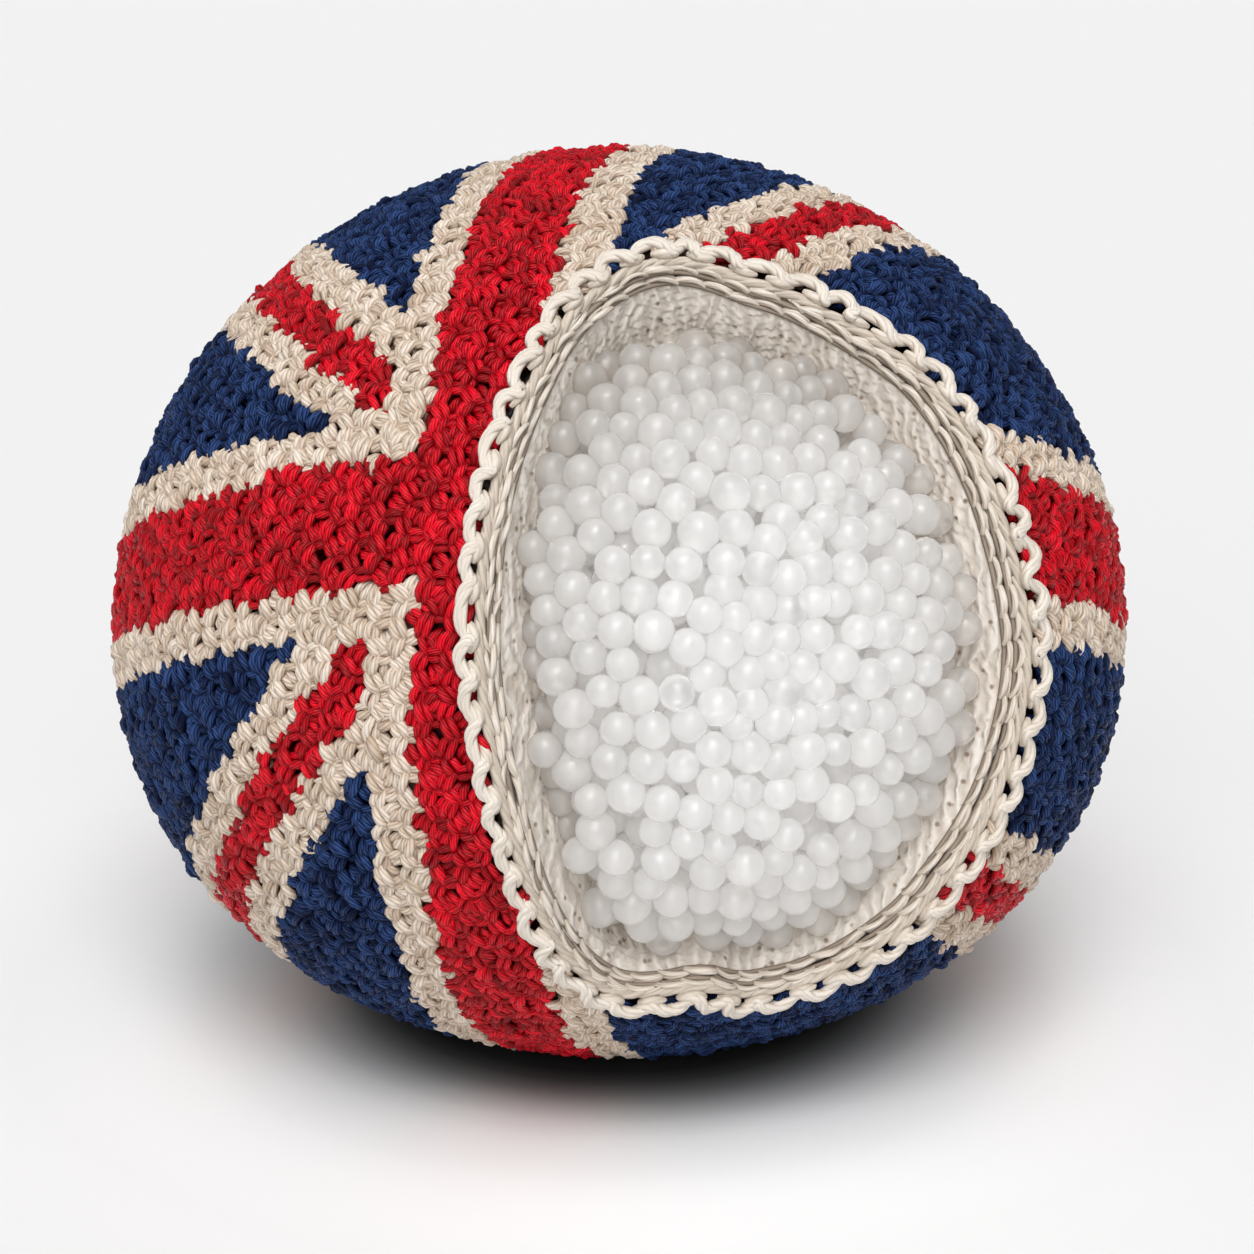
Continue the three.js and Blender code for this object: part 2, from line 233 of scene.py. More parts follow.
# Meshes
class Parts:
    """Points and faces gathered for one mesh, with a strand coordinate at each corner
    and a tone at each point, which also carries painted shade and painted glow."""

    def __init__(self):
        self.points, self.faces, self.strands, self.tones_and_painted_shading = [], [], [], []
        self.count = 0

    def add(self, points, faces, strands, tones_and_painted_shading):
        self.points.append(points.reshape(-1, 3))
        self.faces.append(faces + self.count)
        self.strands.append(strands.reshape(-1, 2))
        self.tones_and_painted_shading.append(np.broadcast_to(tones_and_painted_shading, points.shape[:-1]).reshape(-1))
        self.count += len(self.points[-1])

    def mesh(self, name):
        points = np.concatenate(self.points) * MM
        points[:, 2] = np.maximum(points[:, 2] + SEAT_HEIGHT * MM, 0)
        corners = np.concatenate([f.reshape(-1) for f in self.faces]).astype(np.int32)
        sizes = np.concatenate([np.full(len(f), f.shape[1]) for f in self.faces])
        starts = np.concatenate([[0], np.cumsum(sizes)[:-1]]).astype(np.int32)
        mesh = bpy.data.meshes.new(name)
        mesh.vertices.add(len(points))
        mesh.vertices.foreach_set("co", points.astype(np.float32).reshape(-1))
        mesh.loops.add(len(corners))
        mesh.loops.foreach_set("vertex_index", corners)
        mesh.polygons.add(len(sizes))
        mesh.polygons.foreach_set("loop_start", starts)
        strand = mesh.uv_layers.new(name="strand")
        uvs = np.concatenate(self.strands).astype(np.float32).reshape(-1)
        strand.uv.foreach_set("vector", uvs)
        # The tone attribute holds painted shade and painted glow on top of the colour's own
        # random tone
        tone_and_painted_shading = mesh.attributes.new("tone_and_painted_shading", "FLOAT", "POINT")
        tone_and_painted_shading.data.foreach_set("value", np.concatenate(self.tones_and_painted_shading).astype(np.float32))
        mesh.update(calc_edges=True)
        mesh.shade_smooth()
        return mesh


def add_piece(name, parts, material, nodes):
    mesh = parts.mesh(name)
    mesh.materials.append(material)
    piece = add_object(name, mesh)
    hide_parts(*nodes)
    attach(piece, "root")
    return piece


def grid_faces(rows, columns, rows_close, columns_close):
    """The faces of a grid whose rows or columns may close on themselves."""
    row = np.arange(rows if rows_close else rows - 1)[:, None]
    column = np.arange(columns if columns_close else columns - 1)[None]
    here, after = row * columns, (row + 1) % rows * columns
    other = (column + 1) % columns
    faces = np.stack([here + column, here + other, after + other, after + column], axis=-1)
    return faces.reshape(-1, 4)


def sphere(rows, columns):
    """Points, faces and strand coordinates of a sphere with a radius of one."""
    tilt = np.linspace(0, np.pi, rows)
    turn = np.linspace(0, FULL_TURN, columns, endpoint=False)
    places = np.stack([
        np.sin(tilt)[:, None] * np.cos(turn)[None],
        np.sin(tilt)[:, None] * np.sin(turn)[None],
        np.broadcast_to(np.cos(tilt)[:, None], (rows, columns)),
    ], axis=-1).reshape(-1, 3)
    faces = grid_faces(rows, columns, False, True)[:, [0, 3, 2, 1]]
    strands = np.stack([np.arctan2(places[:, 1], places[:, 0]), places[:, 2]], axis=-1)
    return places, faces, strands


# How much darker a strand's sides are painted than its crest, as shade in the creases
# between strands, and how far apart strands lie in the pattern of the yarn
CREASE_PAINTED_SHADE = 0.25
PATTERN_STEP = 7.13


def tubes(parts, paths, widths, heights, sides, tones_and_painted_shading, length, twist=0.0, outward=None,
          closed=False, start=0.0):
    """Plied strands along paths: an array of strands, their steps and coordinates. The
    strand coordinates run on by a length, and the tone is painted darker down a strand's
    sides, as shade in the creases between strands."""
    count, rings = paths.shape[:2]
    if closed:
        tangents = np.roll(paths, -1, axis=1) - np.roll(paths, 1, axis=1)
    else:
        tangents = np.gradient(paths, axis=1)
    tangents = unit(tangents)
    outward = unit(paths if outward is None else outward)
    side = unit(np.cross(tangents, outward))
    out = np.cross(side, tangents)
    turns = FULL_TURN * np.arange(sides) / sides

    def reach(sizes, shares, way):
        sizes = np.broadcast_to(sizes, (count, rings))[:, :, None, None]
        return sizes * shares[None, None, :, None] * way[:, :, None]

    points = paths[:, :, None] + reach(heights, np.cos(turns), out)
    points = points + reach(widths, np.sin(turns), side)

    steps = rings if closed else rings - 1
    along = np.arange(steps + 1) / steps
    ring = np.arange(steps)
    shift = np.broadcast_to(start, count)[:, None, None] + twist * along[None, :, None]

    def corner(side_on, ring_on):
        around = ((np.arange(sides) + side_on) / sides)[None, None]
        run = along[ring + ring_on][None, :, None] * length
        run = run + np.arange(count)[:, None, None] * PATTERN_STEP
        around = around + shift[:, ring + ring_on]
        return np.stack(np.broadcast_arrays(around, run), axis=-1)

    strands = np.stack([corner(0, 0), corner(1, 0), corner(1, 1), corner(0, 1)], axis=3)
    tones_and_painted_shading = np.broadcast_to(tones_and_painted_shading, (count, rings))[:, :, None]
    tones_and_painted_shading = tones_and_painted_shading * (1 - CREASE_PAINTED_SHADE + CREASE_PAINTED_SHADE * np.cos(turns))
    first = np.arange(count)[:, None, None] * rings * sides
    faces = (first + grid_faces(rings, sides, closed, True)).reshape(-1, 4)
    parts.add(points, faces, strands, tones_and_painted_shading)


# Crochet
COLUMN_PITCH = 1.45
ROW_PITCH = 1.8
ROW_START = 0.3
POLE_GAP = 0.035
HOLE_STRAY = 0.13
STRAND_RADIUS = 0.25
STRAND_APART = 0.235
STRAND_DEPTH = 0.4
STRAND_SIDES = 6
STRAND_RUN, STRAND_TWIST = 1.6, 0.5
# The backing's depth, and the dark painted shade that it shows through the holes
BACKING_DEPTH, BACKING_PAINTED_SHADE = 0.82, 0.16
# How far in from the window's rim the crochet's strands, their ends and the strands
# that cross its holes may lie
CROCHET_EDGE, CROCHET_REACH, HOLE_EDGE = 0.75, 1.0, 0.45
# How far the lobes run on past their ends, the depth of their crests and ends, and the
# shares by which some are thicker, thinner or painted darker as shade
LEG_OVERRUN, LOOP_OVERRUN, HOLE_LENGTH = 0.36, 0.22, 1.45
LEG_CREST, LOOP_CREST, HOLE_CREST = 0.27, 0.38, 0.35
LEG_END, LOOP_END, HOLE_END, LEG_END_RISE = 1.0, 1.05, 1.0, 0.18
LOOP_THIN, LOOP_PAINTED_SHADE, CREAM_THICK = 0.96, 0.88, 1.06
HOLE_THICK, HOLE_CREAM_THICK = 1.04, 1.08

# A short lobe of yarn: its steps, how far it arches and how it thins to its ends
STEPS = np.linspace(0, 1, 6)
ARCH = smooth_bump(STEPS, 0.8)
FULLNESS = smooth_bump(STEPS, 0.6)
TAPER = 0.70 + 0.30 * FULLNESS


def stripe_distance(flag_places, angle):
    turn = math.radians(angle)
    return flag_places[..., 1] * math.cos(turn) - flag_places[..., 0] * math.sin(turn)


def field_names():
    names = ["red_cross"]
    for quarter, *_ in DIAGONALS:
        names += ["red_diagonal_" + quarter, "cream_border_" + quarter,
                  "navy_field_" + quarter + "_a", "navy_field_" + quarter + "_b"]
    return names


FIELDS = field_names()
UPRIGHT_MESH, NO_MESH = -1, -2


def field_of(places):
    """The number of the colour field that each place on the bag lies in."""
    flag_places = places @ FLAG
    upright = stripe_distance(flag_places, 90) - UPRIGHT_SHIFT
    crossbar = stripe_distance(flag_places, CROSSBAR_ANGLE) - CROSSBAR_SHIFT
    past_upright = np.abs(upright) - (UPRIGHT_WIDTH / 2 - UPRIGHT_LESS)
    past_crossbar = np.abs(crossbar) - CROSSBAR_WIDTH / 2
    in_border = past_upright <= CROSS_BORDER + UPRIGHT_BORDER_MORE
    in_border |= past_crossbar <= CROSS_BORDER
    field = np.zeros(places.shape[:-1], int)
    for index, (_, angle, width, shift) in enumerate(DIAGONALS):
        left = math.cos(math.radians(angle)) < 0
        upper = math.sin(math.radians(angle)) > 0
        in_quarter = ((upright > 0) == left) & ((crossbar > 0) == upper)
        in_quarter &= (past_upright > 0) & (past_crossbar > 0)
        along = stripe_distance(flag_places, angle) - shift
        diagonal, border, navy_a, navy_b = np.arange(1, 5) + 4 * index
        number = np.where(along > 0, navy_a, navy_b)
        number[np.abs(along) <= width / 2 + DIAGONAL_BORDER] = border
        number[np.abs(along) < width / 2] = diagonal
        number[in_border] = border
        field = np.where(in_quarter, number, field)
    return field


def mesh_of(places, shown):
    """The number of the mesh at each place. It is the field's, but the cross is the
    largest field, so its upright is a mesh of its own."""
    field = field_of(places)
    off = stripe_distance(places @ FLAG, CROSSBAR_ANGLE) - CROSSBAR_SHIFT
    field[(field == 0) & (np.abs(off) >= CROSSBAR_WIDTH / 2)] = UPRIGHT_MESH
    return np.where(shown, field, NO_MESH)


def hole_columns():
    """Columns of holes between the stitches. A column is a ring round the bag beside
    the flag's upright, and each starts where it crosses the crossbar. The first and the
    last are the one hole in which the rings end."""
    columns = []
    tilt = math.radians(CROSSBAR_ANGLE)
    reach = int(math.pi / 2 * BAG_RADIUS / COLUMN_PITCH)
    for column in range(-reach, reach + 1):
        arc = (column * COLUMN_PITCH - UPRIGHT_SHIFT) / BAG_RADIUS
        if abs(arc) > math.pi / 2 - POLE_GAP:
            continue
        radius = math.cos(arc) * BAG_RADIUS
        count = max(int(round(FULL_TURN * radius / ROW_PITCH)), 4)
        level = CROSSBAR_SHIFT / BAG_RADIUS + math.sin(tilt) * math.sin(arc)
        level = max(-1.0, min(1.0, level / (math.cos(tilt) * math.cos(arc))))
        start = math.asin(level) + ROW_START / radius
        turns = start + (np.arange(count) + (column % 2) / 2) * FULL_TURN / count
        local = np.stack([
            np.full(count, math.sin(arc)),
            math.cos(arc) * np.sin(turns),
            math.cos(arc) * np.cos(turns),
        ], axis=-1)
        columns.append((turns, local @ FLAG.T))
    ends = [(np.zeros(1), np.array([[way, 0.0, 0.0]]) @ FLAG.T) for way in (-1.0, 1.0)]
    return [ends[0], *columns, ends[1]]


def join_columns(turns, here, other_turns, there):
    """The links and triangles between two columns of holes, in step round the bag."""
    count, other_count = len(turns), len(other_turns)
    a_step, b_step = FULL_TURN / count, FULL_TURN / other_count
    off = (other_turns - turns[0] + math.pi) % FULL_TURN - math.pi
    near = int(np.argmin(np.abs(off)))
    a_turn, b_turn = turns[0], other_turns[near]
    b_turn += FULL_TURN * round((a_turn - b_turn) / FULL_TURN)
    links, triangles = [], []
    a, b = 0, 0
    while a < count or b < other_count:
        a_now, b_now = a_turn + a * a_step, b_turn + b * b_step
        i, j = here + a % count, there + (near + b) % other_count
        links.append((i, j, 1))
        a_is_nearer = abs(a_now + a_step - b_now) <= abs(b_now + b_step - a_now)
        if b == other_count or (a < count and a_is_nearer):
            a += 1
            triangles.append((i, here + a % count, j))
        else:
            b += 1
            triangles.append((i, there + (near + b) % other_count, j))
    return links, triangles


def join_end(count, ring, end):
    """The links and triangles between a column of holes and the one where rings end."""
    links = [(ring + step, end, 1) for step in range(count)]
    triangles = [(ring + step, ring + (step + 1) % count, end) for step in range(count)]
    return links, triangles


def lace(columns):
    """The links between neighbouring holes, and the triangles between the links. A link
    from one column to the next has a 1 after its two holes, one within a column a 0."""
    counts = [len(turns) for turns, _ in columns]
    first = np.cumsum([0, *counts]).tolist()
    links, triangles = [], []
    for number, (turns, _) in enumerate(columns):
        count, here, there = counts[number], first[number], first[number + 1]
        if count > 1:
            links += [(here + step, here + (step + 1) % count, 0) for step in range(count)]
        if there == first[-1]:
            break
        if count == 1:
            joined = join_end(counts[number + 1], there, here)
        elif counts[number + 1] == 1:
            joined = join_end(count, here, there)
        else:
            joined = join_columns(turns, here, columns[number + 1][0], there)
        links += joined[0]
        triangles += joined[1]
    return np.array(links), np.array(triangles)


def beside_links(links, triangles):
    """The two triangles that each link parts, or a pair of -1 where it has fewer."""
    number = {(min(i, j), max(i, j)): k for k, (i, j, _) in enumerate(links.tolist())}
    sides = np.full((len(links), 2), -1)
    for index, corners in enumerate(triangles.tolist()):
        for i, j in zip(corners, corners[1:] + corners[:1]):
            link = number[(min(i, j), max(i, j))]
            sides[link, 0 if sides[link, 0] < 0 else 1] = index
    sides[(sides < 0).any(axis=1)] = -1
    return sides


def is_cream(places):
    return np.char.startswith(np.array(FIELDS)[field_of(places)], "cream")[:, None]


def link_strands(low_end, high_end, leg, cream):
    """The yarn passes between each pair of neighbouring holes as a short lobe of two
    strands, from one meeting of three lobes to the next. The steep ones are the legs of
    the stitches, and the others the loops across their tops."""
    count = len(low_end)
    each = (count, 1)
    flip = ((high_end - low_end) @ FLAG[:, 1] < 0)[:, None]
    low_end, high_end = np.where(flip, high_end, low_end), np.where(flip, low_end, high_end)
    chord = high_end - low_end
    length = np.linalg.norm(chord, axis=-1, keepdims=True) * BAG_RADIUS
    sideways = np.cross(unit(low_end + high_end), unit(chord))
    # A leg bows away from the middle of its stitch
    bow = np.where(leg, rng.normal(0.10, 0.06, each), rng.normal(0, 0.10, each))
    bow = bow * np.where((sideways @ FLAG[:, 1]) > 0, 1, -1)[:, None]
    over = np.where(leg, LEG_OVERRUN, LOOP_OVERRUN) * rng.normal(1, 0.12, each)
    over = over / np.maximum(length, 0.5)
    reach = -over + (1 + 2 * over) * STEPS
    ends = rng.normal(0, 0.10, (2, count, 1))
    aside = ends[0] * (1 - STEPS) + ends[1] * STEPS + bow * ARCH
    directions = low_end[:, None] + chord[:, None] * reach[..., None]
    directions = directions + sideways[:, None] * (aside / BAG_RADIUS)[..., None]
    crest = np.where(leg, LEG_CREST, LOOP_CREST) + rng.normal(0, 0.07, each)
    # A leg's lower end dives below its neighbours, its upper end stays higher
    end_depth = np.where(leg, LEG_END, LOOP_END) - LEG_END_RISE * STEPS * leg
    depth = end_depth - (end_depth - crest) * ARCH**0.7
    spread = sideways[:, None] * ((0.25 + 0.75 * ARCH) / BAG_RADIUS)[:, None]
    size = STRAND_RADIUS * np.where(leg, 1, LOOP_THIN) * np.where(cream, CREAM_THICK, 1)
    # Painted shade: each lobe darkens toward its ends, where it dives under its neighbours,
    # and the deeper loops are painted darker still
    tone_and_painted_shading = (0.24 + 0.84 * FULLNESS) * np.where(leg, 1, LOOP_PAINTED_SHADE)
    strands = []
    for half in (-1, 1):
        apart = STRAND_APART * half * rng.normal(1, 0.12, (count, 1, 1))
        lower = depth + rng.normal(0, 0.07, each) * ARCH
        width = size * rng.normal(1, 0.08, each) * TAPER
        strands.append((on_surface(directions + spread * apart, lower), width,
                        tone_and_painted_shading * rng.normal(1, 0.09, each), rng.random(count)))
    return strands


def hole_strands(holes, cream):
    """One more lobe crosses each hole below the others, leaning one way or the other,
    and leaves only narrow gaps beside it."""
    count = len(holes)
    each = (count, 1)
    right = unit(np.cross(FLAG[:, 1], holes))
    upward = np.cross(holes, right)
    lean = rng.choice((-1.0, 1.0), count) * rng.uniform(0.5, 1.3, count)
    heading = right * np.cos(lean)[:, None] + upward * np.sin(lean)[:, None]
    beside = np.cross(holes, heading)
    swing = (STEPS - 0.5) * rng.normal(HOLE_LENGTH, 0.12, each)
    swing = swing + rng.normal(0, 0.10, each)
    curve = rng.normal(0.0, 0.14, each) * (ARCH - 0.5) + rng.normal(0, 0.12, each)
    spots = holes[:, None] * BAG_RADIUS + heading[:, None] * swing[..., None]
    spots = spots + beside[:, None] * curve[..., None]
    depth = HOLE_END - (HOLE_END - rng.normal(HOLE_CREST, 0.08, each)) * ARCH**0.7
    size = STRAND_RADIUS * np.where(cream, HOLE_CREAM_THICK, HOLE_THICK)
    # Painted shade: each lobe darkens toward its ends, where it runs under the others
    tone_and_painted_shading = 0.22 + 0.82 * FULLNESS
    strands = []
    for half in (-1, 1):
        apart = STRAND_APART * half * (0.3 + 0.7 * ARCH)[:, None] * beside[:, None]
        width = size * rng.normal(1, 0.08, each) * TAPER
        path = on_surface(spots + apart, depth + rng.normal(0, 0.04, each))
        strands.append((path, width, tone_and_painted_shading * rng.normal(1, 0.09, each), rng.random(count)))
    return strands


def add_backing(parts, corners):
    """Triangles between the holes, below the strands, painted dark as the shade in the
    holes.
    """
    corners = on_surface(corners, BACKING_DEPTH)
    points = corners.reshape(-1, 3)
    faces = np.arange(len(points)).reshape(-1, 3)
    normal = np.cross(corners[:, 1] - corners[:, 0], corners[:, 2] - corners[:, 0])
    inward = (normal * corners[:, 0]).sum(axis=-1) < 0
    faces[inward] = faces[inward][:, ::-1]
    parts.add(points, faces, np.zeros((len(points), 2)), BACKING_PAINTED_SHADE)


def make_crochet(materials):
    columns = hole_columns()
    holes = np.concatenate([directions for _, directions in columns])
    links, triangles = lace(columns)
    sides_of = beside_links(links, triangles)
    kept = sides_of[:, 0] >= 0
    links, sides_of = links[kept], sides_of[kept]
    link_places = on_surface(holes[links[:, 0]] + holes[links[:, 1]], STRAND_DEPTH)
    link_shown = window_measure(link_places, CROCHET_EDGE) > 1.0
    tri_places = on_surface(holes[triangles].mean(axis=1), STRAND_DEPTH)
    tri_shown = window_measure(tri_places, CROCHET_EDGE) > 1.0

    # Holes stray a little from their even places
    places = on_surface(holes, 0)
    holes = unit(places + rng.normal(0, HOLE_STRAY, places.shape))
    hole_places = on_surface(holes, STRAND_DEPTH)
    hole_shown = window_measure(hole_places, HOLE_EDGE) > 1.0

    # No strand reaches in past the cord
    meeting = unit(holes[triangles].mean(axis=1))
    low_end, high_end = meeting[sides_of[:, 0]], meeting[sides_of[:, 1]]
    for end in (low_end, high_end):
        link_shown &= window_measure(end, CROCHET_REACH) > 1.0

    leg = links[:, 2:] == 1
    groups = ((link_strands(low_end, high_end, leg, is_cream(link_places)),
               mesh_of(link_places, link_shown)),
              (hole_strands(holes, is_cream(hole_places)),
               mesh_of(hole_places, hole_shown)))
    tri_mesh = mesh_of(tri_places, tri_shown)
    meshes = [("red_crossbar", 0, FIELDS[0]), ("red_upright", UPRIGHT_MESH, FIELDS[0])]
    meshes += [(node, number, node) for number, node in enumerate(FIELDS) if number]
    for name, number, node in meshes:
        parts = Parts()
        for strands, mesh in groups:
            chosen = mesh == number
            for path, width, tone_and_painted_shading, start in strands:
                tubes(parts, path[chosen], width[chosen], width[chosen], STRAND_SIDES,
                      tone_and_painted_shading[chosen], STRAND_RUN, STRAND_TWIST, start=start[chosen])
        add_backing(parts, holes[triangles[tri_mesh == number]])
        yarn = name.split("_")[0]
        add_piece("crochet_" + name, parts, materials[yarn], [node])


# Trims
# The window's rim is measured at this many bearings, and is about this long
RIM_BEARINGS = 1440
RIM_LENGTH = 116.0
CORD_LOOPS, CORD_STEPS, CORD_PLIES, CORD_TURNS = 54, 26, 3, 66
CORD_RADIUS, CORD_WIDTH, CORD_HEIGHT = 0.235, 0.145, 0.12
CORD_SAMPLES, CHAIN_SAMPLES = 2400, 2000
CHAIN_PITCH, CHAIN_OVERLAP, CHAIN_RADIUS = 1.5, 1.25, 0.175


def rim_line(count, offset, depth):
    """Bearings spaced evenly along the rim at an offset, and the rim's length there."""
    fine = np.linspace(0, FULL_TURN, RIM_BEARINGS + 1)
    runs = lengths_along(rim_place(fine, offset, depth))
    wanted = np.arange(count) / count * runs[-1]
    return np.interp(wanted, runs, fine), runs[-1]


def rim_bearings(shares, samples, offset, depth):
    """The bearings at shares of the way round the rim at an offset."""
    even = np.append(rim_line(samples, offset, depth)[0], FULL_TURN)
    return np.interp(shares % 1.0, np.arange(samples + 1) / samples, even)


def rim_frame(bearing, offset, depth):
    points = rim_place(bearing, offset, depth)
    ahead = rim_place(bearing + 1e-3, offset, depth)
    tangents = unit(ahead - points)
    side = unit(np.cross(tangents, unit(points)))
    return points, side, np.cross(side, tangents)


def waves(bearing, seed, low, high, count=10):
    """A smooth closed wander round the window, about one high at most."""
    own = np.random.default_rng(seed)
    total = np.zeros_like(bearing)
    for _ in range(count):
        total += np.sin(bearing * own.integers(low, high) + own.random() * FULL_TURN)
    return total / math.sqrt(count)


def add_painted_shade_row(parts, offset, depth, below, width, tone_and_painted_shading):
    """A plain strand round the window, a little below a trim's stitches, painted dark as
    shade.
    """
    bearing, _ = rim_line(240, offset, depth)
    points, _, out = rim_frame(bearing, offset, depth + below)
    tubes(parts, points[None], width, 0.16, 7, tone_and_painted_shading, RIM_LENGTH, outward=out[None],
          closed=True)


def add_cord(parts, own):
    """One plied cord in loops that bulge out over the crochet. Each loop starts on top
    of the tail of the one before."""
    loop = np.arange(CORD_LOOPS)[:, None]
    phase = np.arange(CORD_STEPS)[None] / CORD_STEPS
    turn = FULL_TURN * phase

    def uneven(spread):
        """A value for each loop that changes smoothly into the next loop's."""
        values = own.normal(0, spread, CORD_LOOPS)
        ease = 0.5 - 0.5 * np.cos(np.pi * phase)
        return values[:, None] * (1 - ease) + np.roll(values, -1)[:, None] * ease

    share = loop + phase - (0.10 + uneven(0.04)) * np.sin(turn) + uneven(0.10)
    bearing = rim_bearings((share / CORD_LOOPS).reshape(-1), CORD_SAMPLES, *EDGING_CORD)
    points, side, out = rim_frame(bearing, *EDGING_CORD)
    reach = (0.34 + uneven(0.08)).reshape(-1) + 0.10 * np.cos(bearing)
    wide = np.tile(turn.reshape(-1), CORD_LOOPS)
    centre = points - side * (reach * np.cos(wide))[:, None]
    rise = 0.12 * np.sin(wide + 0.6) - 0.10 * np.cos(wide) + 0.05 * uneven(1).reshape(-1)
    centre = centre + out * rise[:, None]
    tangents = unit(np.roll(centre, -1, axis=0) - np.roll(centre, 1, axis=0))
    across = unit(np.cross(tangents, out))
    above = np.cross(across, tangents)
    runs = np.arange(len(centre)) / len(centre)
    for ply in range(CORD_PLIES):
        spin = FULL_TURN * ply / CORD_PLIES - FULL_TURN * CORD_TURNS * runs
        path = centre + across * (CORD_WIDTH * np.cos(spin))[:, None]
        path = path + above * (CORD_HEIGHT * np.sin(spin))[:, None]
        radius = CORD_RADIUS * (1 + 0.08 * waves(bearing, 11 + ply, 20, 90))
        tubes(parts, path[None], radius[None], radius[None], 8, 1.0, 260.0,
              outward=out[None], closed=True)


def add_cord_stitches(parts, own):
    """Short knots on the cord's inner side, a row of slanting stitches below them that
    cross each other, painted darker as shade, and a row under those painted dark as shade."""
    offset, depth = EDGING_CORD
    steps = np.linspace(0, 1, 8)
    middle = np.arange(CORD_LOOPS)[:, None] + own.normal(0, 0.06, (CORD_LOOPS, 1))
    bulge = np.sin(np.pi * steps)
    body = 0.6 + 0.4 * smooth_bump(steps, 0.7)

    def short_strands(share, off_by, deep_by, radius, tone_and_painted_shading):
        bearing = rim_bearings(share / CORD_LOOPS, CORD_SAMPLES, offset, depth)
        points, side, out = rim_frame(bearing, offset, depth)
        path = points - side * off_by[:, None] - out * deep_by[:, None]
        radius = radius * own.normal(1, 0.08, (CORD_LOOPS, 1))
        tubes(parts, path, radius, radius, 8, tone_and_painted_shading, 1.6, 0.3, out,
              start=own.random(CORD_LOOPS))

    short_strands(middle + (steps - 0.5) * 0.66, 0.10 + 0.34 * bulge, 0.36 - 0.22 * bulge,
                  0.29 * body, 0.9)
    # The slanting stitches below the knots are painted darker, as shade
    for place in (0, 0.5):
        short_strands(middle + place + (steps - 0.5) * 1.1, 0.42 + 0.30 * steps,
                      0.66 - 0.20 * bulge + 0.10 * steps, 0.24 * body, 0.72)
    add_painted_shade_row(parts, offset + 0.55, depth, 0.8, 0.34, 0.2)


def make_edging(material):
    parts = Parts()
    own = np.random.default_rng(3)
    add_cord(parts, own)
    add_cord_stitches(parts, own)
    add_piece("scalloped_cord", parts, material, ["scalloped_edging"])


def make_chain(name, place, node, seed, material):
    """A row of chain: two legs side by side for each stitch, over a row painted dark as
    shade.
    """
    parts = Parts()
    own = np.random.default_rng(seed)
    stitches = int(round(rim_line(8, *place)[1] / CHAIN_PITCH))
    each = (stitches, 1)
    steps = np.linspace(0, 1, 7)
    bulge = np.sin(np.pi * steps)
    for leg in (-1, 1):
        share = np.arange(stitches)[:, None] + steps * CHAIN_OVERLAP
        share = (share + own.normal(0, 0.05, each)) / stitches
        bearing = rim_bearings(share, CHAIN_SAMPLES, *place)
        wander = place[0] + 0.10 * waves(bearing, seed + 2, 6, 40)
        points, side, out = rim_frame(bearing, wander, place[1])
        away = own.normal(0.16, 0.06, each) * leg * (1 - steps) ** 0.8
        away = away + own.normal(0, 0.07, each) * bulge
        rise = own.normal(0.17, 0.05, each) * bulge
        rise = rise - 0.16 * (steps > 0.99) - 0.08 * (steps < 0.01)
        path = points + side * away[..., None] + out * rise[..., None]
        radius = CHAIN_RADIUS * (0.55 + 0.45 * smooth_bump(0.08 + 0.84 * steps, 0.6))
        radius = radius * own.normal(1, 0.12, each)
        # Painted shade: each leg darkens toward its ends, where it tucks under the next
        tone_and_painted_shading = 0.42 + 0.58 * smooth_bump(0.05 + 0.9 * steps, 0.6)
        tubes(parts, path, radius, radius, 7, tone_and_painted_shading, 1.8, 0.3, out,
              start=own.random(stitches))
    add_painted_shade_row(parts, *place, 0.16, 0.24, 0.3)
    add_piece(name, parts, material, [node])


# Hem and lining
# The hem's section: an offset in from the crochet's edge and a depth at each point
HEM_PROFILE = (
    (0.45, 2.0), (1.15, 1.9), (1.5, 1.45), (1.85, 1.62), (2.12, 1.85), (2.28, 2.2),
    (2.45, 2.6), (2.6, 3.0), (2.75, 3.5), (2.95, 4.2), (3.25, 5.0), (3.85, 5.6),
)
HEM_WIDTH = 8.0
HEM_GRAIN = 0.013
LINING_DEPTH, LINING_OPENING, LINING_RADIUS = 2.75, 1.3, 27


